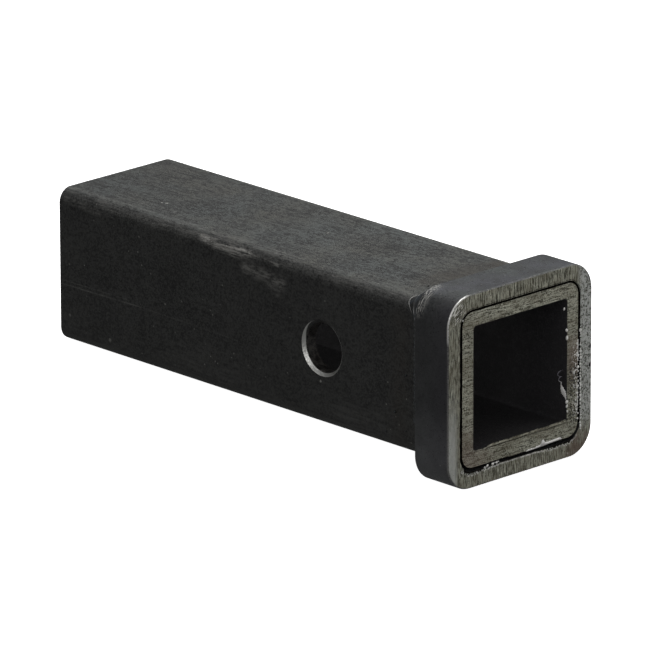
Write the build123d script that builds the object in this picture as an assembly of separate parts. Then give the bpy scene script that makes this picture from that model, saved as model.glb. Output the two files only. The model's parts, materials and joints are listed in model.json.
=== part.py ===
"""Square receiver tube with a reinforcing collar welded round its mouth.

The shank of a ball mount or a rack slides into the tube from the +X end, and a
pin through the cross hole holds it there. Units are millimetres. The origin is
the middle of the pin hole, on the centre line of the tube. +X points out of the
mouth and +Z is up.
"""

from build123d import *
import math
import os

# Tube, and the socket in it that the shank slides into
tube_outside = 63.5
tube_wall = 6.35
tube_length = 228.6
tube_corner_radius = 5.8
tube_edge_break = 0.4
socket_corner_radius = 1.6

# Pin hole, through both side walls
pin_hole_diameter = 20.2
pin_hole_to_mouth = 77.2
pin_hole_chamfer = 1.2

# Collar: a ring of rounded square section over the mouth, sitting a little low
collar_step = 7.3
collar_depth = 18.4
collar_corner_radius = 11.8
collar_drop = 0.6
collar_edge_radius = 0.6
collar_side_gap = 0.7
collar_top_gap = 0.5
collar_bottom_gap = 1.1

# Fillet weld behind the collar: over the top and down both sides, with more metal at the upper corners
weld_leg_on_tube = 7.4
weld_to_collar_rim = 1.1
weld_crown = 1.1
weld_corner_leg = 11.0
weld_corner_height = 4.2
weld_end_to_underside = 8.0

# Sizes and places that follow from those above
socket_size = tube_outside - 2 * tube_wall
collar_outside = tube_outside + 2 * collar_step
weld_leg_on_collar = collar_step - collar_drop - weld_to_collar_rim
mouth_x = pin_hole_to_mouth
rear_x = mouth_x - tube_length
collar_back_x = mouth_x - collar_depth
weld_end_z = weld_end_to_underside + weld_leg_on_tube - tube_outside / 2


def section_plane(x, z):
    """Plane square to the tube, with its own x along +Y and its own y along +Z."""
    return Plane(origin=(x, 0, z), x_dir=(0, 1, 0), z_dir=(1, 0, 0))


def square_bar(x_low, length, centre_z, width, height, corner_radius):
    """Bar of rounded square section, from x_low towards the mouth."""
    profile = section_plane(x_low, centre_z) * RectangleRounded(width, height, corner_radius)
    return extrude(profile, length)


def end_rims(solid, x):
    """Edges of a solid that lie in the plane square to the tube at x."""
    return solid.edges().filter_by_position(Axis.X, x - 0.01, x + 0.01)


def pin_hole():
    """Cutter for the cross hole: a bore with a countersink at each outer face."""
    radius = pin_hole_diameter / 2
    half = tube_outside / 2
    outline = Polyline(
        (0, -half),
        (radius + pin_hole_chamfer, -half),
        (radius, -half + pin_hole_chamfer),
        (radius, half - pin_hole_chamfer),
        (radius + pin_hole_chamfer, half),
        (0, half),
        close=True,
    )
    return revolve(make_face(outline), Axis.Y)


def receiver_tube():
    """The long square tube, broken along its outer end edges and cross-drilled."""
    bar = square_bar(rear_x, tube_length, 0, tube_outside, tube_outside, tube_corner_radius)
    bar = chamfer(end_rims(bar, rear_x) + end_rims(bar, mouth_x), tube_edge_break)
    socket = square_bar(rear_x, tube_length, 0, socket_size, socket_size, socket_corner_radius)
    return bar - socket - pin_hole()


def collar():
    """The ring round the mouth, with its hole a clearance larger than the tube."""
    ring = square_bar(
        collar_back_x, collar_depth, -collar_drop, collar_outside, collar_outside, collar_corner_radius
    )
    ring = fillet(end_rims(ring, collar_back_x) + end_rims(ring, mouth_x), collar_edge_radius)
    hole_centre_z = (collar_top_gap - collar_bottom_gap) / 2
    hole = square_bar(
        collar_back_x,
        collar_depth,
        hole_centre_z,
        tube_outside + 2 * collar_side_gap,
        tube_outside + collar_top_gap + collar_bottom_gap,
        tube_corner_radius + collar_side_gap,
    )
    return ring - hole


def weld_section():
    """Triangle with a crowned face: x runs up the collar's back and y runs back along the tube."""
    slope = math.hypot(weld_leg_on_collar, weld_leg_on_tube)
    crown_out = weld_leg_on_collar / 2 + weld_crown * weld_leg_on_tube / slope
    crown_back = weld_leg_on_tube / 2 + weld_crown * weld_leg_on_collar / slope
    outline = (
        Line((0, 0), (weld_leg_on_collar, 0))
        + ThreePointArc((weld_leg_on_collar, 0), (crown_out, crown_back), (0, weld_leg_on_tube))
        + Line((0, weld_leg_on_tube), (0, 0))
    )
    return make_face(outline)


def weld_bead():
    """Fillet carried round the tube against the collar's back, and kept above its two ends."""
    tube_outline = section_plane(collar_back_x, 0) * RectangleRounded(
        tube_outside, tube_outside, tube_corner_radius
    )
    path = tube_outline.face().outer_wire()
    out_of_tube = (path % 0).cross(Vector(1, 0, 0))
    start = Plane(origin=path @ 0, x_dir=out_of_tube, z_dir=path % 0)
    loop = sweep(start * weld_section(), path=path)
    return split(loop, bisect_by=Plane(origin=(0, 0, weld_end_z)), keep=Keep.TOP)


def weld_end(y_side):
    """Rounded lower end of the weld on one side: its section turned down through a right angle."""
    root = (collar_back_x, y_side * tube_outside / 2, weld_end_z)
    start = Plane(origin=root, x_dir=(0, y_side, 0), z_dir=(0, 0, y_side))
    return revolve(start * weld_section(), Axis(root, (0, -1, 0)), 90)


def corner_build_up(y_side):
    """Half spheroid about one upper corner of the tube, where the runs on the top and the side overlap."""
    radius = tube_corner_radius + weld_corner_height
    length = weld_corner_leg / math.sqrt(1 - (tube_corner_radius / radius) ** 2)
    quarter = (
        Line((0, 0), (-length, 0))
        + EllipticalCenterArc((0, 0), length, radius, start_angle=90, arc_size=90)
        + Line((0, radius), (0, 0))
    )
    offset = tube_outside / 2 - tube_corner_radius
    centre = (collar_back_x, y_side * offset, offset)
    return Location(centre) * revolve(make_face(quarter), Axis.X)


def collar_weld():
    """The weld as laid: its bead, ends and corner build-ups, less the tube that it lies on."""
    weld = weld_bead()
    for y_side in (-1, 1):
        weld += weld_end(y_side)
        weld += corner_build_up(y_side)
    core = square_bar(rear_x, tube_length, 0, tube_outside, tube_outside, tube_corner_radius)
    return weld - core


pieces = {
    "receiver_tube": receiver_tube(),
    "collar": collar(),
    "collar_weld": collar_weld(),
}

os.makedirs("parts", exist_ok=True)
for name, shape in pieces.items():
    export_step(shape, f"parts/{name}.step")
    print(name, round(shape.volume), "mm3")
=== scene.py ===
"""Receiver tube: steel finishes, the rippled collar weld, saw burrs and a small studio.

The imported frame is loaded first, and every piece is worked out from its boxes.
Lengths are metres, apart from the values whose names end in _mm and the sizes and
places given inside the finishes, which are millimetres.
"""

import json
import math
from functools import reduce

import bpy
import numpy as np
from bpy.props import FloatProperty, FloatVectorProperty, IntProperty, PointerProperty
from mathutils import Matrix, Vector


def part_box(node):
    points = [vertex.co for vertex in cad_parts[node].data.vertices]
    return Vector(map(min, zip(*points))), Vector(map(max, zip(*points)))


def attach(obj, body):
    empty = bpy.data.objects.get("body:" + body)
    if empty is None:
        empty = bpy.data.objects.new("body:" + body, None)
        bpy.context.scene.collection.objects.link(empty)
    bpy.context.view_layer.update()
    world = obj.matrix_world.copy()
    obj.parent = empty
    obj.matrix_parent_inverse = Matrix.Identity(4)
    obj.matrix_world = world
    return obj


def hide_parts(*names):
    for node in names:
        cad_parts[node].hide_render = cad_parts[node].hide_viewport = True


bl_info = {
    "name": "Receiver tube",
    "version": (1, 0, 0),
    "blender": (4, 5, 0),
    "location": "3D View > Sidebar > Receiver",
    "description": "Finishes, weld bead, saw burrs and studio for a receiver tube",
    "category": "Object",
}

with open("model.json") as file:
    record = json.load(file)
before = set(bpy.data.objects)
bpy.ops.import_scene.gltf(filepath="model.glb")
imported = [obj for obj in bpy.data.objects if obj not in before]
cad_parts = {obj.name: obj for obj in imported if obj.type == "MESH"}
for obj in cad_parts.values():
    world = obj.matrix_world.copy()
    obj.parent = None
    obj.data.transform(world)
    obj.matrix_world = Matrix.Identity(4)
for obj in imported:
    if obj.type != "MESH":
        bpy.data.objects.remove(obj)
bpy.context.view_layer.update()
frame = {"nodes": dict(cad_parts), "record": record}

# Sizes and places taken from the frame
tube_low, tube_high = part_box("receiver_tube")
collar_low, collar_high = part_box("collar")
weld_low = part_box("collar_weld")[0]
mounts = {mount["name"]: mount for mount in frame["record"]["mounts"]}
millimetre = 0.001
mouth_x = tube_high.x
rear_x = tube_low.x
collar_back_x = collar_low.x
tube_half = tube_high.y
collar_half = collar_high.y
collar_drop = collar_half - collar_high.z
pin_radius = mounts["pin_hole"]["dims"]["r_mm"] * millimetre
pin_chamfer = tube_half - mounts["pin_hole"]["dims"]["length_mm"] * millimetre / 2

# Sizes that the boxes don't give
tube_corner_radius = 0.0058
tube_wall = 0.00635
tube_edge_break = 0.0004
socket_corner_radius = 0.0016
collar_corner_radius = 0.0118
collar_side_gap = 0.0007
socket_half = tube_half - tube_wall


def to_mm(length):
    """A length in millimetres, for the finishes."""
    return length / millimetre


# How deep a sawn face's own finish reaches, and the planes that the wear lies in
sawn_depth_mm = 0.03
mouth_mm = to_mm(mouth_x)
rear_mm = to_mm(rear_x)
half_mm = to_mm(tube_half)
near_mm = -half_mm

# Streaks of wear on the tube: start, end, width and strength. Those on the shoulders are wear with a
# painted highlight.
shoulder_scuffs_and_highlights_mm = (
    ((-69, -30.9, 30.0), (-42, -31.3, 29.0), 1.6, 1.2),
    ((-61, -31.5, 28.3), (-46, -31.7, 27.4), 1.3, 0.7),
    ((-44, -31.4, 28.9), (-25, -31.6, 28.2), 0.6, 0.65),
    ((6, -29.7, 30.9), (47, -29.9, 30.7), 0.5, 0.45),
    ((-20, -30.2, 30.5), (10, -29.9, 30.8), 0.5, 0.25),
)
side_scuffs_mm = (
    ((-43, near_mm, 23.6), (-23, near_mm, 21.4), 2.4, 0.34),
    ((-32, near_mm, 21.0), (-25, near_mm, 17.4), 1.6, 0.20),
    ((-149, near_mm, 28.6), (-128, near_mm, 26.6), 1.3, 0.15),
)
scratches_mm = (
    ((-150, near_mm, -7.6), (-104, near_mm, -7.0), 0.28, 0.13),
    ((-150, near_mm, -6.0), (-112, near_mm, -5.6), 0.22, 0.09),
    ((-104, near_mm, -7.0), (-48, near_mm, -7.8), 0.25, 0.05),
    ((-24, near_mm, 16.0), (-9, near_mm, 11.5), 0.5, 0.035),
)

# Spots on the tube and on the collar's face: centre, radius and strength
bright_specks_mm = (
    ((-0.8, near_mm, -13.5), 0.5, 0.7),
    ((-106.8, -14.3, half_mm), 0.6, 0.9),
    ((-108.6, -15.4, half_mm), 0.4, 0.9),
    ((-95.8, -20.2, half_mm), 0.5, 0.6),
    ((-89.5, near_mm, -2.4), 0.4, 0.35),
    ((-145.5, near_mm, -19.8), 0.6, 0.25),
    ((-122.0, near_mm, -24.9), 0.7, 0.3),
    ((-33.5, 3.8, half_mm), 0.5, 0.6),
)
top_stains_mm = (
    ((-2.8, 8.9, half_mm), 4.0, 0.6),
    ((29.4, -11.6, half_mm), 1.6, 0.8),
    ((36.6, -18.9, half_mm), 1.0, 0.5),
)
collar_nicks_mm = (
    ((mouth_mm, 38.3, 3.2), 0.8, 1.0),
    ((mouth_mm, 38.3, -4.4), 0.9, 1.0),
)

# Middle line of the shaving on the mouth, from its curl down to the corner, and where it has tarnished
curl_knots_mm = (
    (76.6, 22.4, -3.4),
    (76.7, 22.0, -5.2),
    (76.8, 22.1, -7.0),
    (76.9, 22.5, -9.0),
    (77.0, 23.2, -11.4),
    (77.1, 24.3, -13.6),
    (77.2, 25.0, -15.8),
)
curl_tarnish_mm = (mouth_mm - 0.5, 22.0, -3.6)

# Torn edges on the mouth: start and end in Y and Z, direction, width, least share of it, evenness and seed
torn_side_y = tube_half - 0.0003
torn_edges = (
    ("torn_side_inner", (torn_side_y, 0.0070), (torn_side_y, -0.0012), (0, -1, 0), 0.0008, 0.04, 3, 32),
    ("torn_side_low", (torn_side_y, -0.0110), (torn_side_y, -0.0200), (0, -1, 0), 0.0005, 0.04, 3, 33),
    ("torn_lower_right", (0.0105, -0.0316), (0.0228, -0.0312), (0, 0.15, 1), 0.0021, 0.5, 9, 34),
    ("torn_lower_run", (0.0030, -0.0318), (0.0130, -0.0316), (0, 0.15, 1), 0.0007, 0.2, 15, 38),
    ("torn_lower_left", (-0.0155, -0.0321), (-0.0115, -0.0321), (0, 0.3, -1), 0.0007, 0.04, 5, 36),
)

# Rows of small beads down the gap's +Y side: place in Y, top, foot and spacing as a share of the mean
bead_rows = (
    (tube_half + collar_side_gap + 0.0003, 0.0125, -0.0290, 1.25),
    (tube_half - 0.0004, 0.0085, -0.0245, 2.1),
)

# Larger beads, by their place in Y and Z: along the gap's lower left, at its upper left,
# beside it on the right, and on the opening's edge
large_beads = (
    (-0.0193, -0.0330),
    (-0.0178, -0.0326),
    (-0.0152, -0.0324),
    (-0.0127, -0.0325),
    (-0.0311, 0.0289),
    (0.0308, 0.0019),
    (0.0307, 0.0010),
    (0.0308, -0.0121),
    (0.0237, 0.0213),
    (0.0253, -0.0166),
    (0.0255, -0.0184),
    (0.0256, -0.0205),
    (0.0252, 0.0125),
    (0.0254, 0.0093),
)

# Lamps of the studio, each with its place, width and height, and named as its power is in the settings
lamps = (
    ("top_light", (-0.15, 0.25, 1.5), (1.3, 1.3)),
    ("back_light", (-1.3, 1.2, 0.75), (1.6, 1.0)),
    ("front_light", (1.3, 1.15, 0.1), (1.2, 1.0)),
    ("key_light", (0.75, -1.5, 0.85), (1.1, 1.1)),
    ("through_light", (-0.32, -0.022, 0.0), (0.016, 0.04)),
)

# Camera at the view of the photograph, with its azimuth, elevation and roll in degrees
camera_place = (2.467749, -2.392204, 1.112126)
camera_angles = (46.2524, 17.8933, -0.1667)

# Half the floor's width, and how far the floor lies under the part
studio_reach = 9.0
floor_clearance = 0.0001


class Wire:
    """A value inside a finish. Arithmetic on wires adds Math nodes."""

    def __init__(self, finish, socket):
        self.finish = finish
        self.socket = socket

    def maths(self, operation, first, second=0.0):
        return self.finish.add("ShaderNodeMath", {"operation": operation}, {0: first, 1: second})

    def __add__(self, other):
        return self.maths("ADD", self, other)

    __radd__ = __add__

    def __sub__(self, other):
        return self.maths("SUBTRACT", self, other)

    def __rsub__(self, other):
        return self.maths("SUBTRACT", other, self)

    def __mul__(self, other):
        return self.maths("MULTIPLY", self, other)

    __rmul__ = __mul__

    def __abs__(self):
        return self.maths("ABSOLUTE", self)

    def __pow__(self, other):
        return self.maths("POWER", self, other)

    def __gt__(self, other):
        return self.maths("GREATER_THAN", self, other)

    def __lt__(self, other):
        return self.maths("LESS_THAN", self, other)

    def at_least(self, other):
        return self.maths("MAXIMUM", self, other)

    def at_most(self, other):
        return self.maths("MINIMUM", self, other)


def strongest(masks):
    """The largest of several masks at each place."""
    return reduce(Wire.at_least, masks)


class Finish:
    """One material under construction, with the place on the piece in millimetres."""

    def __init__(self, name):
        self.material = bpy.data.materials.new(name)
        self.material.use_nodes = True
        self.tree = self.material.node_tree
        self.shader = self.tree.nodes["Principled BSDF"]
        metres = self.add("ShaderNodeTexCoord", output="Object")
        self.place = self.vectors("SCALE", {0: metres, "Scale": 1 / millimetre})
        parts = self.add("ShaderNodeSeparateXYZ", None, {0: self.place}).socket.node.outputs
        self.x, self.y, self.z = (Wire(self, part) for part in parts)
        self.height = 0.0

    def add(self, kind, settings=None, inputs=None, output=0):
        """Adds a node, sets its settings and then its sockets, and returns one output."""
        node = self.tree.nodes.new(kind)
        for name, value in (settings or {}).items():
            setattr(node, name, value)
        for name, value in (inputs or {}).items():
            if isinstance(value, Wire):
                self.tree.links.new(value.socket, node.inputs[name])
            else:
                node.inputs[name].default_value = value
        return Wire(self, node.outputs[output])

    def vectors(self, operation, inputs, output=0):
        """One step of vector arithmetic."""
        return self.add("ShaderNodeVectorMath", {"operation": operation}, inputs, output)

    def mapped(self, place, **inputs):
        """A place moved, turned or scaled to carry a pattern."""
        return self.add("ShaderNodeMapping", {"vector_type": "POINT"}, {0: place, **inputs})

    def noise(self, size_mm, detail=3.0, roughness=0.55, stretch=(1, 1, 1), shift=0.0, sharp=1.0, turn=0.0):
        """Noise from about 0 to 1 whose features are size_mm across, longer where stretch is over 1.

        A turn rolls the pattern about the tube's line, in degrees.
        """
        place = self.mapped(self.place, Rotation=(math.radians(turn), 0, 0)) if turn else self.place
        scale = tuple(1 / (size_mm * part) for part in stretch)
        where = self.mapped(place, Location=(shift,) * 3, Scale=scale)
        inputs = {"Vector": where, "Scale": 1.0, "Detail": detail, "Roughness": roughness}
        spread = 0.3 / sharp
        return self.smooth(self.add("ShaderNodeTexNoise", None, inputs), 0.5 - spread, 0.5 + spread)

    def cells(self, size_mm, shift=0.0):
        """Distance to the nearest of points strewn size_mm apart, as a share of size_mm."""
        where = self.mapped(self.place, Location=(shift,) * 3, Scale=(1 / size_mm,) * 3)
        inputs = {"Vector": where, "Scale": 1.0}
        return self.add("ShaderNodeTexVoronoi", {"feature": "F1"}, inputs, output="Distance")

    def smooth(self, value, low, high):
        """0 below low and 1 above high, with a smooth step between. Low may be the larger."""
        inputs = {"Value": value, "From Min": low, "From Max": high}
        return self.add("ShaderNodeMapRange", {"interpolation_type": "SMOOTHSTEP"}, inputs)

    def band(self, value, low, inner_low, inner_high, high):
        """1 between the two inner limits and 0 outside the other two, with smooth steps."""
        return self.smooth(value, low, inner_low) * self.smooth(value, high, inner_high)

    def mix(self, first, second, share):
        """First colour where share is 0 and second where it is 1."""
        colours = {"Factor": share, 6: self.opaque(first), 7: self.opaque(second)}
        return self.add("ShaderNodeMix", {"data_type": "RGBA"}, colours, output=2)

    def coats(self, colour, *layers):
        """A colour under several layers, laid in order, each a colour and its share."""
        for layer, share in layers:
            colour = self.mix(colour, layer, share)
        return colour

    @staticmethod
    def opaque(colour):
        return colour if isinstance(colour, Wire) else (*colour, 1.0)

    def spot(self, centre_mm, radius_mm, edge=0.5):
        """1 at a point and 0 beyond a radius about it."""
        apart = self.vectors("DISTANCE", {0: self.place, 1: centre_mm}, "Value")
        return self.smooth(apart, radius_mm * (1 + edge), radius_mm * (1 - edge))

    def streak(self, start_mm, end_mm, width_mm, edge=0.5):
        """1 on the line from start to end and 0 beyond a width about it."""
        start = Vector(start_mm)
        run = Vector(end_mm) - start
        from_start = self.vectors("SUBTRACT", {0: self.place, 1: start})
        along = self.vectors("DOT_PRODUCT", {0: from_start, 1: run / run.length_squared}, "Value")
        foot = self.vectors("SCALE", {0: run, "Scale": along.at_least(0.0).at_most(1.0)})
        apart = self.vectors("DISTANCE", {0: from_start, 1: foot}, "Value")
        return self.smooth(apart, width_mm * (1 + edge), width_mm * (1 - edge))

    def spots(self, marks_mm, edge=0.5):
        """The strongest of several spots, each a centre, a radius and a strength."""
        return strongest([self.spot(*shape, edge) * strength for *shape, strength in marks_mm])

    def streaks(self, marks_mm, edge=0.5):
        """The strongest of several streaks, each a start, an end, a width and a strength."""
        return strongest([self.streak(*shape, edge) * strength for *shape, strength in marks_mm])

    def off_square(self, half_side_mm, radius_mm, drop_mm=0.0):
        """Distance outside a rounded square about the tube's line: the corner's reach less its radius."""
        across = abs(self.y) - (half_side_mm - radius_mm)
        upward = abs(self.z + drop_mm) - (half_side_mm - radius_mm)
        outside = (across.at_least(0.0) ** 2 + upward.at_least(0.0) ** 2) ** 0.5
        return outside + across.at_least(upward).at_most(0.0) - radius_mm

    def finish(self, colour, roughness, metallic):
        """Feeds the shader, with the heights gathered so far as its bump."""
        for name, value in {"Base Color": colour, "Roughness": roughness, "Metallic": metallic}.items():
            self.tree.links.new(value.socket, self.shader.inputs[name])
        inputs = {"Strength": 1.0, "Distance": millimetre, "Height": self.height}
        bump = self.add("ShaderNodeBump", None, inputs, output="Normal")
        self.tree.links.new(bump.socket, self.shader.inputs["Normal"])
        return self.material


def dress(node_name, material):
    """Gives a node of the frame one material in place of its own."""
    slots = frame["nodes"][node_name].data.materials
    slots.clear()
    slots.append(material)


def sawn_colour(finish, settings, strokes, stain):
    """Grey-olive of a sawn face: darker and lighter strokes of the blade under a thin brown film."""
    grey = finish.mix(settings.sawn_dark, settings.sawn_bright, finish.smooth(strokes, 0.22, 0.82))
    return finish.mix(grey, settings.sawn_film, stain)


def tube_scale(finish, settings, textures, top):
    """Mill scale in two tones, paler in patches on the upper face, partly patchy scale and partly painted
    light from above, with dust that gathers low down.
    """
    clouds, grain, mottle, drawn = textures
    shade = finish.smooth(clouds * 0.12 + mottle * 0.25 + grain * 0.53 + drawn * 0.1, 0.27, 0.73)
    # The upper face's paler patches, stronger towards the front, are partly painted light from above
    hues = finish.noise(26, 3, 0.6, shift=87, sharp=1.6)
    upper = finish.mix(settings.olive_scale_and_light, settings.green_scale_and_light, hues)
    pale_patches = finish.smooth(clouds * 0.2 + mottle * 0.35 + grain * 0.25 + drawn * 0.2, 0.32, 0.68)
    forward = finish.smooth(finish.x, -160, 30)
    dust = finish.noise(24, 5, 0.7, shift=19, sharp=1.5) * finish.noise(1.8, 4, 0.7, shift=4, sharp=1.5)
    low_streaks = finish.noise(1.1, 4, 0.7, stretch=(18, 1, 1), shift=45, sharp=2.2)
    low = finish.smooth(finish.z, -8, -27) * low_streaks * finish.noise(30, 3, 0.6, shift=49, sharp=2)
    return finish.coats(
        finish.mix(settings.scale_dark, settings.scale_light, shade),
        (upper, top * (0.02 + 0.55 * pale_patches + 0.3 * forward * pale_patches)),
        (settings.scale_dust, dust * 0.35),
        (settings.scale_dust, low * 0.5),
    )


def tube_wear_and_highlight(finish):
    """Where the tube is rubbed bare: along its shoulders, where a painted highlight lies too, in scuffs and
    scratches, and in specks.
    """
    corner_mm = to_mm(tube_corner_radius)
    fibres = finish.noise(0.9, 4, 0.7, stretch=(14, 1, 1), shift=11, sharp=2.2)
    patches = finish.noise(20, 4, 0.7, shift=57, sharp=2.0)
    smeared = finish.noise(1.5, 5, 0.75, stretch=(3, 1, 1), shift=63, sharp=2.4)
    broken = finish.noise(9, 3, 0.6, shift=71, sharp=2.0)
    sparse = finish.noise(18, 2, 0.5, shift=31, sharp=2)
    rounding = finish.smooth(finish.z, half_mm - corner_mm * 0.9, half_mm - corner_mm * 0.25)
    shoulder = rounding * (abs(finish.y) > half_mm - corner_mm * 1.05)
    return strongest([
        # Painted highlight along the rounded shoulders, mixed with wear
        shoulder * fibres * patches * 0.16,
        finish.streaks(shoulder_scuffs_and_highlights_mm, 1.0) * fibres * (0.3 + 0.7 * smeared),
        finish.streaks(side_scuffs_mm, 0.9) * smeared,
        finish.streaks(scratches_mm) * (0.3 + 0.7 * broken),
        finish.smooth(finish.cells(4.6, shift=2), 0.10, 0.04) * sparse * 0.4,
        finish.spots(bright_specks_mm),
    ])


def pin_hole_masks(finish):
    """The bright cut steel on the countersink, with painted shade that fades it towards its top, and the
    bore behind it.
    """
    x, y, z = finish.x, finish.y, finish.z
    pin_mm, chamfer_mm, slack_mm = to_mm(pin_radius), to_mm(pin_chamfer), 0.05
    from_pin = (x * x + z * z) ** 0.5
    in_chamfer = abs(y) > half_mm - chamfer_mm - slack_mm
    in_ring = (from_pin < pin_mm + chamfer_mm + slack_mm) * (from_pin > pin_mm + 0.02)
    countersink = in_ring * in_chamfer
    # Painted shade: the cut's brightness fades with height up the countersink, with a quarter of it kept
    # towards the mouth
    painted_light = finish.smooth(from_pin - pin_mm, z * 0.14 - 0.3, z * 0.14)
    far_rim = finish.smooth(x, 8, 10.5) * 0.25
    bore = (from_pin < pin_mm + slack_mm) * (abs(y) > to_mm(socket_half))
    return countersink * painted_light.at_least(far_rim), bore


def tube_end(finish, settings, inward, outward):
    """Sawn end of the tube: its colour, with painted shade round the opening, its height and the painted
    shadow along the gap.
    """
    y, z = finish.y, finish.z
    saw = finish.noise(0.42, 2, 0.6, stretch=(1, 12, 1), shift=13, sharp=2.6)
    coarse_saw = finish.noise(1.0, 3, 0.6, stretch=(1, 9, 1), shift=29, sharp=1.8)
    fine = finish.noise(0.6, 2, 0.6, shift=23, sharp=2.2)
    strokes = finish.smooth(saw * 0.4 + coarse_saw * 0.2 + fine * 0.4, -0.1, 0.95)
    film = finish.noise(7, 4, 0.65, stretch=(1, 2.5, 1), shift=41, sharp=1.8)
    lower_left = finish.spot((mouth_mm, -29, -28), 11, 0.9)
    right_strip = finish.smooth(y, 23.5, 28)
    right_brown = right_strip * finish.band(z, -14, -2, 4, 14)
    dots = finish.smooth(finish.cells(1.9, shift=12), 0.2, 0.08)
    dots = dots * finish.noise(5, 2, 0.5, shift=73, sharp=2.2)
    pits = finish.smooth(finish.noise(0.9, 3, 0.7, shift=53, sharp=2.0), 0.5, 0.62)
    pits = pits * right_strip * finish.band(z, -30, -24, -6, 1)
    torn = finish.smooth(finish.noise(0.8, 2, 0.6, shift=83, sharp=2.0), 0.8, 0.92)
    torn = torn * finish.smooth(y, 27, 30.5) * finish.band(z, -26, -20, 2, 8)
    frayed = finish.noise(0.9, 3, 0.7, shift=61, sharp=2.0)
    # Painted shadow of the burrs along the gap, on the face's outer edge
    end_gap_shadow = finish.smooth(outward, -0.6 + frayed * 0.4, -0.35 + frayed * 0.3)
    # Painted shade round the opening's edge, where the inner wall falls dark
    rim_shadow = finish.smooth(inward, 0.5 - frayed * 0.25, 0.1) * finish.smooth(inward, -0.3, -0.1)
    colour = finish.coats(
        sawn_colour(finish, settings, strokes, film * 0.6),
        (settings.rust_film, (lower_left * 0.56).at_least(right_brown * 0.6)),
        (settings.rust_dots, dots * 0.35),
        (settings.shade_and_pit_black, pits * 0.9),
        (settings.burr_white_and_glint, torn * 0.8),
        # Painted shadow along the gap and painted shade round the opening
        (settings.shade_and_pit_black, end_gap_shadow),
        (settings.shade_and_pit_black, rim_shadow * (z > 1 - to_mm(socket_half)) * 0.55),
    )
    return colour, strokes * 0.05 - pits * 0.12, end_gap_shadow


def tube_steel(settings):
    """Dark mill scale on the tube, bare saw-cut ends, and the wear that the sides have taken."""
    finish = Finish("tube_steel")
    x, z = finish.x, finish.z
    outward = finish.off_square(half_mm, to_mm(tube_corner_radius))
    inward = finish.off_square(to_mm(socket_half), to_mm(socket_corner_radius))
    end = abs(x - (mouth_mm + rear_mm) / 2) > (mouth_mm - rear_mm) / 2 - sawn_depth_mm
    inside = inward < 0.3
    # Painted shade: the tube's outside under the collar is painted black, so the gap beside the collar
    # reads dark
    under_collar_shade = (x > to_mm(collar_back_x)) * (1 - inside)
    top = finish.smooth(z, half_mm - 1.2, half_mm - 0.2)

    clouds = finish.noise(12, 4, 0.65, sharp=1.5)
    grain = finish.noise(0.75, 3, 0.65, shift=7, sharp=2.2)
    mottle = finish.noise(2.0, 4, 0.75, stretch=(1.5, 1, 1), shift=97, sharp=2.0)
    drawn = finish.noise(0.8, 3, 0.5, stretch=(60, 1, 1), shift=3, sharp=1.5)
    scale = tube_scale(finish, settings, (clouds, grain, mottle, drawn), top)
    bare_and_highlight = tube_wear_and_highlight(finish)
    heat = finish.streak((38.5, -11, half_mm), (42, 24, half_mm), 5.5, 0.8)
    side_heat = finish.streak((44, near_mm, 20), (44, near_mm, -28), 5, 0.9) * 0.5
    cut, bore = pin_hole_masks(finish)
    bore_tone = finish.smooth(mottle * 0.7 + grain * 0.3, 0.3, 0.8)
    bore_colour = finish.mix(settings.bore_dark, settings.bore_light, bore_tone)
    end_colour, end_height, end_gap_shadow = tube_end(finish, settings, inward, outward)
    # Inside the socket: painted light makes the scale lighter deeper in, and painted shade darkens the
    # socket's floor
    inner = finish.coats(
        settings.inner_scale,
        (settings.inner_deep_painted_light, finish.smooth(x, mouth_mm - 12, mouth_mm - 52)),
        (settings.shade_and_pit_black, finish.smooth(z, -25.1, -25.3) * 0.3),
    )
    colour = finish.coats(
        scale,
        # Bare steel: wear, with a painted highlight on the shoulders
        (settings.bare_steel, bare_and_highlight),
        (settings.heat_tint, heat.at_least(side_heat) * (0.2 + 0.3 * clouds)),
        (settings.scale_dark, finish.spots(top_stains_mm, 0.8)),
        # Painted shade under the collar
        (settings.shade_and_pit_black, under_collar_shade),
        (inner, inside),
        (bore_colour, bore),
        (settings.cut_steel, cut),
        (end_colour, end),
    )
    metal = (bare_and_highlight * 0.7).at_least(cut).at_least(end * 0.7) * (1 - inside * (1 - end))
    metal = metal.at_least(under_collar_shade * (1 - end)).at_least(end * end_gap_shadow)
    rough = 0.56 + 0.3 * (grain - 0.5) + 0.25 * (mottle - 0.5) + 0.1 * (clouds - 0.5) - bare_and_highlight * 0.15
    rough = (rough - end * 0.08) * (1 - cut) + cut * 0.32 + inside.at_least(under_collar_shade) * (1 - end) * 0.4
    scale_height = grain * 0.05 + mottle * (0.03 + 0.07 * top) + drawn * 0.012
    finish.height = scale_height * (1 - end) + end * end_height + bare_and_highlight * 0.02
    return finish.finish(colour, rough, metal)


def collar_scale(finish, settings, textures, top):
    """Blue-grey scale in two tones, paler above, partly painted light from above, and paler low on the near
    side, violet by the front edge.
    """
    clouds, grain, mottle = textures
    shade = clouds * 0.3 + mottle * 0.25 + grain * 0.45
    # The upper face's paler colour is partly painted light from above
    hues = finish.noise(16, 3, 0.6, shift=77, sharp=1.8)
    upper = finish.mix(settings.collar_top_and_light, settings.collar_blue_top_and_light, hues)
    lower = finish.smooth(finish.z, -2, -27) * (finish.y < -28)
    corner_tint = finish.streak((mouth_mm - 1, -37, 32), (mouth_mm - 3, -39, -25), 6, 0.9)
    return finish.coats(
        finish.mix(settings.collar_dark, settings.collar_light, shade),
        (upper, top * (0.2 + 0.8 * finish.smooth(shade, 0.2, 0.8))),
        (settings.collar_pale, lower * (0.35 + 0.35 * clouds + 0.3 * grain)),
        (settings.violet_tint, corner_tint * 0.18),
    )


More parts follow.
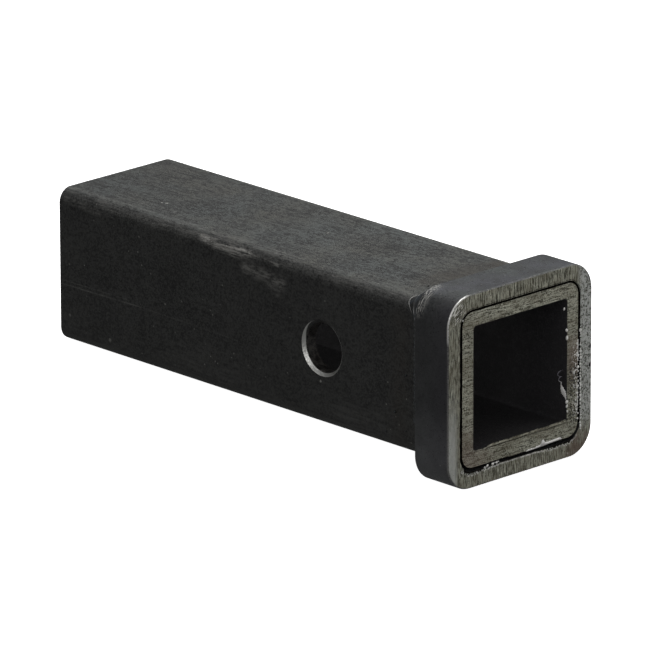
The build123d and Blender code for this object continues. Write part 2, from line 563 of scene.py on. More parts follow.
def collar_wear_and_highlight(finish, outward, nick):
    """Wear and painted highlight on the collar's front edge, a painted highlight at its upper left, and
    bright strokes on the rear corner that are partly grinding marks and partly painted highlight.
    """
    x, y, z = finish.x, finish.y, finish.z
    back_mm = to_mm(collar_back_x)
    edge = finish.smooth(outward, -0.7, -0.2) * finish.smooth(x, mouth_mm - 0.9, mouth_mm - 0.2)
    # Painted highlight: the front edge's bevel at the upper left is painted bright where light catches it
    side_highlight = finish.streak((mouth_mm, -39, 27), (mouth_mm, -35.6, 35), 5, 0.5)
    top_highlight = finish.streak((mouth_mm, -35.6, 35), (mouth_mm, -31.5, 37.6), 3, 0.7)
    painted_light = side_highlight.at_least(top_highlight)
    down_left = finish.smooth(y, -37, -38.5) * finish.smooth(z, 30, -10) * 0.4
    # Bare steel on the front edge: wear, with a painted highlight along it
    edge_wear_and_highlight = edge * strongest([0.12 + painted_light, nick * 0.5, down_left]).at_most(1.0)
    # Bright strokes on the rear corner: grinding marks with a painted highlight of its edge
    rear_corner = finish.spot((back_mm + 1.5, -33.5, 35.0), 7.4, 0.35)
    rear_corner = rear_corner * finish.smooth(x, back_mm + 5.6, back_mm + 1.5)
    grinding = finish.noise(0.42, 2, 0.5, stretch=(1, 1.5, 12), shift=37, sharp=2.6, turn=45)
    return edge_wear_and_highlight, edge * painted_light, rear_corner * finish.smooth(grinding, 0.5, 0.8)


def collar_face(finish, settings, inward, grain, nick):
    """Sawn face of the collar: its colour, its strokes and the painted shadow that fills its inner edge."""
    y, z = finish.y, finish.z
    saw = finish.noise(0.42, 2, 0.6, stretch=(1, 1, 9), shift=15, sharp=2.8)
    coarse_saw = finish.noise(0.9, 2, 0.5, stretch=(1, 1, 6), shift=27, sharp=2.2)
    calm = finish.smooth(y, -31.5, -34)
    strokes = finish.smooth(saw * 0.5 + coarse_saw * 0.2 + grain * 0.3, -0.05, 0.95)
    strokes = strokes * (1 - calm * 0.5) + calm * 0.22
    film = finish.noise(7, 4, 0.65, shift=43, sharp=1.8)
    rust = finish.smooth(y, 19, 31) * finish.smooth(z, -28, -34)
    side_light = finish.smooth(y, -33, -36) * finish.smooth(z, 6, -22)
    far_strip = finish.smooth(y, 30, 34) * finish.smooth(z, -32, -22)
    speckle = finish.smooth(finish.noise(0.8, 3, 0.75, shift=91, sharp=3.0), -0.1, 0.6)
    far_colour = finish.mix(settings.sawn_dark, settings.sawn_cool, speckle)
    frayed = finish.noise(0.5, 1, 0.5, stretch=(1, 1, 3), shift=67, sharp=4.0)
    below = finish.smooth(z, -31, -32)
    low_left = below * finish.band(y, -34, -31, -26, -9)
    low_right = below * finish.band(y, 8, 16, 26, 30)
    # Painted shadow of the burrs round the hole's edge: how far it reaches, wider below and at the lower
    # corners
    shadow_reach = 0.15 + frayed * 0.15 + below * 0.4
    shadow_reach = shadow_reach + low_left * (0.45 + frayed * 0.7) + low_right * (0.35 + frayed * 0.5)
    lip = finish.band(inward, shadow_reach, shadow_reach + 0.1, shadow_reach + 0.4, shadow_reach + 0.8) * below
    painted_gap_shadow = finish.smooth(inward, shadow_reach + 0.06, shadow_reach - 0.04) * (inward > 0.0)
    corner = finish.spot((mouth_mm, -34.2, 32.6), 3.8, 0.5)
    hatch = finish.noise(0.45, 2, 0.5, stretch=(1, 1, 4), shift=55, sharp=2.4, turn=45)
    colour = finish.coats(
        sawn_colour(finish, settings, strokes, film * 0.5),
        (settings.rust_film, rust * (0.35 + 0.5 * film)),
        (settings.sawn_cool, side_light * 0.75),
        (far_colour, far_strip),
        (settings.burr_white_and_glint, lip * (0.12 + 0.5 * nick)),
        # Painted shadow along the hole's edge
        (settings.shade_and_pit_black, painted_gap_shadow),
        (settings.bare_steel, finish.smooth(finish.cells(3.0, shift=8), 0.12, 0.05) * 0.5),
        (settings.shade_and_pit_black, corner * finish.smooth(hatch, 0.62, 0.85) * 0.7),
        (settings.burr_white_and_glint, corner * finish.smooth(hatch, 0.3, 0.1) * 0.6),
        (settings.shade_and_pit_black, finish.spots(collar_nicks_mm, 0.3)),
    )
    return colour, strokes, painted_gap_shadow


def collar_steel(settings):
    """Blue-grey mill scale on the collar, upright saw strokes on its face and a rear corner of grinding
    marks and painted highlight.
    """
    finish = Finish("collar_steel")
    hole_corner_radius = tube_corner_radius + collar_side_gap
    outward = finish.off_square(to_mm(collar_half), to_mm(collar_corner_radius), to_mm(collar_drop))
    inward = finish.off_square(to_mm(tube_half + collar_side_gap), to_mm(hole_corner_radius))
    face = finish.x > mouth_mm - sawn_depth_mm
    # Painted shade: the collar's hole wall, seen only down the gap, is painted black
    gap_wall_shade = (inward < 0.05) * (1 - face)
    top = finish.smooth(finish.z, 35.5, 38.2)

    clouds = finish.noise(9, 4, 0.65, shift=2, sharp=1.6)
    grain = finish.noise(0.75, 3, 0.65, shift=9, sharp=1.4)
    mottle = finish.noise(2.0, 4, 0.75, shift=95, sharp=2.0)
    nick = finish.noise(1.2, 4, 0.7, shift=17, sharp=2.0)
    scale = collar_scale(finish, settings, (clouds, grain, mottle), top)
    edge_wear_and_highlight, painted_light, grinding_and_highlight = collar_wear_and_highlight(finish, outward, nick)
    specks = finish.smooth(finish.cells(4.5, shift=5), 0.09, 0.04) * 0.3
    bare_and_highlight = strongest([edge_wear_and_highlight, grinding_and_highlight, specks])
    face_colour, strokes, painted_gap_shadow = collar_face(finish, settings, inward, grain, nick)
    colour = finish.coats(
        scale,
        # Bare steel: wear, with a painted highlight on the front edge and the rear corner
        (settings.bare_steel, bare_and_highlight * 0.85),
        # Painted highlight on the collar's front edge at its upper left
        (settings.burr_white_and_glint, painted_light),
        (settings.shade_and_pit_black, gap_wall_shade),
        (face_colour, face),
    )
    metal = (bare_and_highlight * 0.7).at_least(face * 0.7) * (1 - grinding_and_highlight * 0.6)
    metal = strongest([metal, gap_wall_shade, face * painted_gap_shadow])
    rough = 0.46 + 0.3 * (grain - 0.5) + 0.25 * (mottle - 0.5)
    rough = rough + face * 0.04 - edge_wear_and_highlight * 0.1 + gap_wall_shade * 0.5
    scale_height = grain * 0.03 + mottle * (0.02 + 0.05 * top)
    finish.height = scale_height * (1 - face) + face * strokes * 0.06 + grinding_and_highlight * 0.04
    return finish.finish(colour, rough, metal)


def weld_metal(settings):
    """Dark bead with oxide in its valleys, and a painted highlight on its ridges."""
    finish = Finish("weld_metal")
    crest = finish.add("ShaderNodeAttribute", {"attribute_name": "crest"}, output="Fac")
    grain = finish.noise(0.8, 4, 0.7, shift=6)
    clouds = finish.noise(5, 4, 0.6, shift=14)
    # Crests painted lighter, and the highest painted white as a highlight
    shade = crest * 0.7 + grain * 0.35 + clouds * 0.2 - 0.1
    bright_with_glint = finish.smooth(crest, 0.5, 0.95) * finish.smooth(grain, 0.0, 0.5)
    tint = finish.noise(3.5, 3, 0.6, shift=33, sharp=2)
    colour = finish.coats(
        finish.mix(settings.weld_dark, settings.weld_light, shade),
        (settings.temper_blue, tint * 0.35),
        (settings.burr_white_and_glint, bright_with_glint),
    )
    finish.height = grain * 0.05
    return finish.finish(colour, 0.5 - bright_with_glint * 0.2 + grain * 0.1, 0.2 + bright_with_glint * 0.1)


def burr_metal(settings):
    """Torn bright steel of a saw burr, its white partly painted glint, dull violet where the shaving curls.
    """
    finish = Finish("burr_metal")
    grain = finish.noise(0.6, 3, 0.6, shift=3)
    bright_with_glint = finish.mix(settings.bare_steel, settings.burr_white_and_glint, 0.4 + 0.6 * grain)
    colour = finish.mix(bright_with_glint, settings.curl_tint, finish.spot(curl_tarnish_mm, 4.6, 0.4) * 0.9)
    finish.height = grain * 0.02
    return finish.finish(colour, 0.32 + grain * 0.12, 0.1 + grain * 0.2)


def rounded_square(half, radius, run):
    """Places and outward directions in Y and Z at distances run round a rounded square.

    Each quarter is a straight of twice the flat half and then an arc, turned by a
    right angle for each quarter passed. The run starts at the low end of the +Y side.
    """
    flat = half - radius
    straight = 2 * flat
    quarter = straight + radius * math.pi / 2
    turns = np.floor(run / quarter)
    passed = run - turns * quarter
    bend = np.clip(passed - straight, 0, None) / radius
    start = turns * math.pi / 2
    outward = np.stack([np.cos(start + bend), np.sin(start + bend)], -1)
    side = np.stack([np.cos(start), np.sin(start)], -1)
    onward = np.stack([-np.sin(start), np.cos(start)], -1)
    along = np.minimum(passed, straight) - flat
    return side * flat + onward * along[:, None] + outward * radius, outward


def round_length(half, radius):
    """Length once round a rounded square."""
    return 8 * (half - radius) + 2 * math.pi * radius


def skin(name, rings):
    """Mesh over a grid of points, rings[station, place], each ring a closed section.

    Every square of four neighbours is a face, and the first and last rings are
    capped. Faces turn outwards by the sign of the volume they hold, the sum of a
    point times the cross product of its neighbours.
    """
    stations, places = rings.shape[:2]
    row = np.arange(stations - 1)[:, None] * places
    column = np.arange(places)[None, :]
    beside = (column + 1) % places
    corners = [row + column, row + beside, row + places + beside, row + places + column]
    faces = np.stack(corners, -1).reshape(-1, 4)
    points = rings.reshape(-1, 3)
    a, b, c, d = (points[faces[:, i]] for i in range(4))
    volume = np.einsum("ij,ij->", a, np.cross(b, c)) + np.einsum("ij,ij->", a, np.cross(c, d))
    last_ring = (stations - 1) * places
    caps = [list(range(places))[::-1], list(range(last_ring, last_ring + places))]
    lists = faces.tolist() + caps
    if volume < 0:
        lists = [face[::-1] for face in lists]
    mesh = bpy.data.meshes.new(name)
    mesh.from_pydata(points.tolist(), [], lists)
    mesh.validate()
    mesh.shade_smooth()
    return mesh


def place_piece(name, mesh, material):
    """Puts a mesh in the scene as a piece that rides on the tube's body."""
    piece = bpy.data.objects.new(name, mesh)
    bpy.context.scene.collection.objects.link(piece)
    mesh.materials.append(material)
    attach(piece, "root")
    return piece


def waves(run, length, seed, count=7):
    """Slow unevenness from -1 to 1 round a closed run: a sum of whole waves with random phases."""
    draw = np.random.default_rng(seed)
    orders = np.arange(2, 2 + count)
    phases = draw.uniform(0, 2 * math.pi, count)
    weights = draw.uniform(0.4, 1.0, count) / np.sqrt(orders)
    return np.sin(run[..., None] * orders * 2 * math.pi / length + phases) @ weights / weights.sum()


def bead_relief(bead, run, length, hump, from_toe, blend):
    """Heights of the bead's ripples and ridges, and the painted highlight on their crests.

    Each ripple is a parabola of the run's phase, bowed forward in the middle of the
    bead. Each ridge is a bell curve of the distance from the rear toe, and the
    second one is lower. The blend goes from ripples at 0 to ridges at 1.
    """
    phase_wander = 0.35 * bead.ripple_pitch
    ridge_offset, ridge_width, second_ridge = 0.36, 0.1, 0.62
    phase = (run + phase_wander * waves(run, length, 11))[:, None] / bead.ripple_pitch
    phase = phase - bead.ripple_bow / bead.ripple_pitch * hump
    ripple = 1 - (2 * (phase % 1.0) - 1) ** 2
    ridge = np.exp(-(((from_toe / bead.crescent_pitch + ridge_offset) % 1.0 - 0.5) / ridge_width) ** 2)
    ridge = ridge * np.where(from_toe > bead.crescent_pitch / 2, second_ridge, 1.0)
    relief = bead.ripple_height * ripple * (1 - blend) + bead.crescent_height * (ridge - 0.5) * blend
    return relief, ripple * (1 - blend) * 0.5 + ridge * np.clip(2 * blend, 0, 1)


def bead_mesh(bead):
    """Rippled fillet weld over the tube's top and down its sides, against the collar's back.

    Across the bead, the surface is the chord between its two toes plus a parabola
    for the crown and the relief of the ripples. At the corners the bead is longer,
    flatter, and ridged along its rear toe. Towards each end the reach on the tube
    falls as a quarter circle and the rise on the collar as a straight line. The
    underside runs just inside the steel.
    """
    end_margin, corner_flattening, crown_wander = 0.0001, 0.45, 0.12
    length = round_length(tube_half, tube_corner_radius)
    quarter = length / 4
    flat = tube_half - tube_corner_radius
    arc = tube_corner_radius * math.pi / 2
    first = weld_low.z + flat
    last = 3 * quarter - arc - first
    ripples = round((last - first) / bead.ripple_pitch)
    stations = ripples * bead.points_per_ripple
    run = np.linspace(first + end_margin, last - end_margin, stations)
    centre, outward = rounded_square(tube_half, tube_corner_radius, run)

    corner_at = quarter - arc / 2
    from_corner = np.minimum(np.abs(run - corner_at), np.abs(run - corner_at - quarter))
    corner = np.exp(-((from_corner / bead.corner_width) ** 2))
    from_end = np.minimum(run - first, last - run)
    taper = np.clip(1 - from_end / bead.leg_on_tube, 0, 1)
    toe_wander = bead.unevenness * (waves(run, length, 3) - 1)
    leg_on_tube = bead.leg_on_tube + toe_wander * (1 - corner) + bead.corner_extra * corner
    leg_on_tube = (leg_on_tube * np.sqrt(1 - taper**2))[:, None]
    leg_on_collar = bead.leg_on_collar + 0.5 * bead.unevenness * (waves(run, length, 5) - 1)
    leg_on_collar = (leg_on_collar * (1 - taper))[:, None]

    across = np.linspace(0, 1, bead.points_across)[None, :]
    hump = 4 * across * (1 - across)
    blend = corner[:, None]
    relief, crest = bead_relief(bead, run, length, hump, leg_on_tube * (1 - across), blend)
    crown = bead.crown * (1 - corner_flattening * blend)
    crown = crown * (1 + crown_wander * waves(run, length, 17)[:, None])
    lift = (crown * hump + relief * np.sqrt(hump)) * np.sqrt(1 - taper[:, None])
    slope = np.hypot(leg_on_tube, leg_on_collar)
    out = leg_on_collar * (1 - across) + lift * leg_on_tube / slope
    back = leg_on_tube * across + lift * leg_on_collar / slope
    level = np.full((stations, 1), -bead.sunk)
    out = np.concatenate([out, level, level, leg_on_collar], 1)
    back = np.concatenate([back, leg_on_tube, level, level], 1)
    places = centre[:, None, :] + outward[:, None, :] * out[..., None]
    mesh = skin("collar_weld_bead", np.concatenate([(collar_back_x - back)[..., None], places], -1))
    # Painted highlight on the crests, kept as a point attribute for the weld's finish
    brightness = np.zeros(out.shape, np.float32)
    brightness[:, : across.size] = crest
    mesh.attributes.new("crest", "FLOAT", "POINT").data.foreach_set("value", brightness.ravel())
    return mesh


def pebble_mesh(name, centres, radii, seed):
    """Many small uneven balls in one mesh.

    Each is a sphere on a grid of longitude and latitude, its radius swollen by a
    slow sine of its own direction, moved to its centre.
    """
    around, up = 10, 6
    turn = np.arange(around) * 2 * math.pi / around
    rise = ((np.arange(1, up) / up - 0.5) * math.pi)[:, None]
    level = np.sin(rise) * np.ones(around)
    ring = np.stack([np.cos(rise) * np.cos(turn), np.cos(rise) * np.sin(turn), level], -1)
    ball = np.concatenate([[[0.0, 0.0, -1.0]], ring.reshape(-1, 3), [[0.0, 0.0, 1.0]]])
    draw = np.random.default_rng(seed)
    twist = draw.uniform(-2.2, 2.2, (len(centres), 3))
    swell = 1 + 0.25 * np.sin(ball[None] @ twist[:, :, None] + draw.uniform(0, 6, (len(centres), 1, 1)))
    points = centres[:, None, :] + ball[None] * swell * radii[:, None, :]
    column = np.arange(around)
    beside = (column + 1) % around
    lower = 1 + np.arange(up - 2)[:, None] * around
    upper = lower + around
    sides = np.stack([lower + column, lower + beside, upper + beside, upper + column], -1).reshape(-1, 4)
    top = len(ball) - 1
    foot = np.stack([np.zeros(around, int), 1 + beside, 1 + column], -1)
    cap = np.stack([np.full(around, top), top - around + column, top - around + beside], -1)
    offsets = (np.arange(len(centres)) * len(ball))[:, None, None]
    faces = [(part[None] + offsets).reshape(-1, part.shape[1]).tolist() for part in (sides, foot, cap)]
    mesh = bpy.data.meshes.new(name)
    mesh.from_pydata(points.reshape(-1, 3).tolist(), [], sum(faces, []))
    mesh.shade_smooth()
    return mesh


def smooth_line(knots, count):
    """Even points on a smooth curve through knots: Catmull-Rom cubics, worked out by share of the run."""
    padded = np.concatenate([2 * knots[:1] - knots[1:2], knots, 2 * knots[-1:] - knots[-2:-1]])
    share = np.linspace(0, len(knots) - 1 - 1e-9, count)
    cell = share.astype(int)
    t = (share - cell)[:, None]
    a, b, c, d = (padded[cell + i] for i in range(4))
    return 0.5 * (2 * b + (c - a) * t + (2 * a - 5 * b + 4 * c - d) * t**2 + (3 * b - a - 3 * c + d) * t**3)


def ragged(count, seed, window):
    """Uneven values from 0 to 1: seeded random ones, averaged over a window and then stretched."""
    draw = np.random.default_rng(seed).uniform(0, 1, count + window - 1)
    values = np.convolve(draw, np.full(window, 1 / window), "valid")
    return (values - values.min()) / (values.max() - values.min())


def fin_mesh(name, base, lean, heights, thickness):
    """Thin ragged fin: a flat section carried along base, its tip off the base by lean times height.

    The section is four points: two on the base, a thickness apart along X, and two
    at the tip, closer together.
    """
    tip = base + np.array(lean) * heights[:, None]
    inwards = np.array([-thickness, 0.0, 0.0])
    return skin(name, np.stack([base, base + inwards, tip + inwards * 0.6, tip + inwards * 0.1], 1))


def strip_mesh(name, line, width_direction, widths, thickness):
    """Curled shaving: a lens-shaped section carried along a line, as wide as widths say."""
    onward = np.gradient(line, axis=0)
    onward = onward / np.linalg.norm(onward, axis=1)[:, None]
    across = width_direction - onward * (onward @ width_direction)[:, None]
    across = across / np.linalg.norm(across, axis=1)[:, None]
    thick = np.cross(onward, across)
    angle = np.arange(8) * math.pi / 4
    half_width = (widths / 2)[:, None] * np.cos(angle)
    half_thickness = (widths / widths.max() * thickness / 2)[:, None] * np.sin(angle)
    width_part = across[:, None, :] * half_width[..., None]
    return skin(name, line[:, None, :] + width_part + thick[:, None, :] * half_thickness[..., None])


def length_property(name, description, default):
    """A length that the panel shows in the scene's unit."""
    return FloatProperty(name=name, description=description, default=default, unit="LENGTH")


def power_property(name, description, default):
    """The power of a lamp."""
    return FloatProperty(name=name, description=description, default=default, min=0, unit="POWER")


def colour_property(name, description, default):
    """A colour that the panel shows as a swatch."""
    swatch = {"subtype": "COLOR", "size": 3, "min": 0, "max": 1}
    return FloatVectorProperty(name=name, description=description, default=default, **swatch)


class BeadSettings(bpy.types.PropertyGroup):
    """Sizes of the weld bead."""

    leg_on_tube: length_property("Leg on tube", "Reach of the bead along the tube", 0.0074)
    leg_on_collar: length_property("Leg on collar", "Reach of the bead up the collar's back", 0.0056)
    crown: length_property("Crown", "Rise of the bead over the chord between its toes", 0.0009)
    ripple_pitch: length_property("Ripple pitch", "Distance from one ripple to the next", 0.0023)
    ripple_height: length_property("Ripple height", "Rise of each ripple", 0.0003)
    ripple_bow: length_property("Ripple bow", "How far each ripple bows along the run", 0.0022)
    corner_extra: length_property("Corner reach", "Extra reach along the tube at its corners", 0.0046)
    corner_width: length_property("Corner width", "Half width of the longer part at a corner", 0.0042)
    crescent_pitch: length_property("Crescent pitch", "Distance between the ridges at a corner", 0.0050)
    crescent_height: length_property("Crescent height", "Rise of the ridges at a corner", 0.0009)
    unevenness: length_property("Unevenness", "How far the toes wander", 0.0006)
    sunk: length_property("Sunk", "How far the underside lies inside the steel", 0.0002)
    points_per_ripple: IntProperty(
        name="Points per ripple", description="Mesh rows for one ripple", default=9, min=4
    )
    points_across: IntProperty(
        name="Points across", description="Mesh columns from toe to toe", default=45, min=5
    )


class BurrSettings(bpy.types.PropertyGroup):
    """Sizes of the burrs that the saw left."""

    lip_height: length_property("Lip height", "Rise of the lip over the opening's lower edge", 0.0014)
    lip_thickness: length_property("Lip thickness", "Thickness of the lip at its root", 0.0005)
    bead_radius: length_property("Bead radius", "Size of the beads of metal along the gap", 0.00042)
    bead_spacing: length_property("Bead spacing", "Mean distance between those beads", 0.0010)
    curl_width: length_property("Curl width", "Width of the curled shaving", 0.0012)
    curl_radius: length_property("Curl radius", "Radius of the turns of the curled shaving", 0.00095)
    smear_width: length_property("Smear width", "How far the smear closes the gap below the tube", 0.0013)
    torn_step: length_property("Torn step", "Distance between the teeth of the torn edges", 0.00022)
    torn_lift: length_property("Torn lift", "How far the torn edges stand off the face", 0.00012)


class FinishSettings(bpy.types.PropertyGroup):
    """Colours of the steel."""

    scale_dark: colour_property("Scale, dark", "Darkest mill scale on the tube", (0.004, 0.0042, 0.0042))
    scale_light: colour_property("Scale, light", "Lightest mill scale on the tube", (0.042, 0.043, 0.041))
    scale_dust: colour_property("Dust", "Grey dust rubbed into the scale", (0.085, 0.085, 0.08))
    # Upper face colours: partly scale, partly painted light from above
    olive_scale_and_light: colour_property("Scale, olive", "Olive scale on the upper face", (0.130, 0.131, 0.114))
    green_scale_and_light: colour_property("Scale, green", "Green scale on the upper face", (0.124, 0.138, 0.134))
    inner_scale: colour_property("Inner scale", "Scale inside the socket", (0.020, 0.0185, 0.021))
    # Painted light: lighter scale far inside the socket
    inner_deep_painted_light: colour_property("Inner scale, deep", "Scale far inside the socket", (0.085, 0.083, 0.085))
    collar_dark: colour_property("Collar, dark", "Darkest scale on the collar", (0.011, 0.0115, 0.012))
    collar_light: colour_property("Collar, light", "Lightest scale on the collar", (0.054, 0.056, 0.058))
    # Collar's upper face colours: partly scale, partly painted light from above
    collar_top_and_light: colour_property("Collar, top", "Scale on its upper face", (0.080, 0.091, 0.086))
    collar_blue_top_and_light: colour_property("Collar, top, blue", "Bluer scale there", (0.088, 0.092, 0.106))
    collar_pale: colour_property("Collar, pale", "Paler scale low on its side", (0.105, 0.108, 0.112))
    violet_tint: colour_property("Violet tint", "Temper by the front edge", (0.045, 0.036, 0.055))
    heat_tint: colour_property("Heat tint", "Brown left by the heat of welding", (0.050, 0.038, 0.026))
    sawn_dark: colour_property("Sawn, dark", "Dark strokes of a sawn face", (0.040, 0.040, 0.028))
    sawn_bright: colour_property("Sawn, bright", "Bright strokes of a sawn face", (0.335, 0.337, 0.275))
    sawn_film: colour_property("Sawn, film", "Thin film on a sawn face", (0.105, 0.093, 0.062))
    sawn_cool: colour_property("Sawn, cool", "Grey steel on the collar's far strip", (0.38, 0.39, 0.37))
    rust_dots: colour_property("Rust dots", "Small rust dots on the sawn ends", (0.075, 0.036, 0.026))
    rust_film: colour_property("Rust film", "First rust on a sawn face", (0.105, 0.074, 0.058))
    bare_steel: colour_property("Bare steel", "Steel rubbed bright", (0.52, 0.51, 0.48))
    # Near-white of torn metal, partly painted glint
    burr_white_and_glint: colour_property("Burr", "Torn metal that catches the light", (0.92, 0.91, 0.88))
    cut_steel: colour_property("Cut steel", "Steel cut by a drill", (0.78, 0.78, 0.75))
    bore_dark: colour_property("Bore, dark", "Dark part of the pin hole's wall", (0.012, 0.011, 0.010))
    bore_light: colour_property("Bore, light", "Lighter part of that wall", (0.075, 0.070, 0.064))
    weld_dark: colour_property("Weld, dark", "Oxide in the bead's valleys", (0.010, 0.010, 0.010))
    weld_light: colour_property("Weld, light", "Crests of the bead", (0.085, 0.085, 0.082))
    temper_blue: colour_property("Temper blue", "Blue that heat leaves on steel", (0.055, 0.075, 0.095))
    curl_tint: colour_property("Curl tint", "Dull violet of the shaving's curl", (0.13, 0.12, 0.16))
    # Black for painted shade in the gaps, under the collar and inside the socket, and for real pits and
    # nicks
    shade_and_pit_black: colour_property("Gap", "Shadowed steel in the gap", (0.006, 0.005, 0.004))


class StudioSettings(bpy.types.PropertyGroup):
    """Floor, lights and camera."""

    floor_colour: colour_property("Floor", "Colour of the floor", (0.85, 0.85, 0.85))
    floor_glow: FloatProperty(
        name="Floor glow", description="Light that the floor gives to the camera", default=1.0, min=0
    )
    surround: FloatProperty(
        name="Surround", description="Brightness of the studio's dim walls", default=0.125, min=0
    )
    top_light: power_property("Top light", "Power of the soft light overhead", 16)
    back_light: power_property("Back light", "Power of the soft light behind the tube", 1.2)
    front_light: power_property("Front light", "Power of the soft light that faces the mouth", 9)
    through_light: power_property("Through light", "Power of the small light behind the bore", 0.15)
    key_light: power_property("Key light", "Power of the soft light above the camera", 5)
    lens: FloatProperty(
        name="Lens", description="Focal length on a 36 mm sensor", default=512.6, unit="CAMERA"
    )


class ReceiverSettings(bpy.types.PropertyGroup):
    """All the settings of the receiver tube."""

    bead: PointerProperty(type=BeadSettings)
    burr: PointerProperty(type=BurrSettings)
    finish: PointerProperty(type=FinishSettings)
    studio: PointerProperty(type=StudioSettings)


class RECEIVER_OT_tube(bpy.types.Operator):
    """Gives the tube its mill scale, sawn ends and wear."""

    bl_idname = "receiver.tube"
    bl_label = "Finish the tube"

    def execute(self, context):
        dress("receiver_tube", tube_steel(context.scene.receiver.finish))
        return {"FINISHED"}


class RECEIVER_OT_collar(bpy.types.Operator):
    """Gives the collar its blue-grey scale and sawn face."""

    bl_idname = "receiver.collar"
    bl_label = "Finish the collar"

    def execute(self, context):
        dress("collar", collar_steel(context.scene.receiver.finish))
        return {"FINISHED"}


class RECEIVER_OT_weld(bpy.types.Operator):
    """Lays the rippled weld bead in place of the plain one, with a little spatter."""

    bl_idname = "receiver.weld"
    bl_label = "Lay the weld"

    def execute(self, context):
        settings = context.scene.receiver
        material = weld_metal(settings.finish)
        bead = place_piece("collar_weld_bead", bead_mesh(settings.bead), material)
        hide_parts("collar_weld")
        self.leave_spatter(settings.bead, material)
        return {"FINISHED"}

    @staticmethod
    def leave_spatter(bead, material):
        """Drops of weld metal round the tube, 2 to 16 mm behind the bead, sunk by most of their radius."""
        count = 16
        draw = np.random.default_rng(21)
        run = draw.uniform(0, round_length(tube_half, tube_corner_radius), count)
        place, outward = rounded_square(tube_half, tube_corner_radius, run)
        back = collar_back_x - bead.leg_on_tube - draw.uniform(0.002, 0.016, count)
        size = draw.uniform(0.00025, 0.0006, count)
        centres = np.column_stack([back, place + outward * (size * 0.25)[:, None]])
        mesh = pebble_mesh("weld_spatter", centres, np.repeat(size[:, None], 3, 1), 22)
        place_piece("weld_spatter", mesh, material)


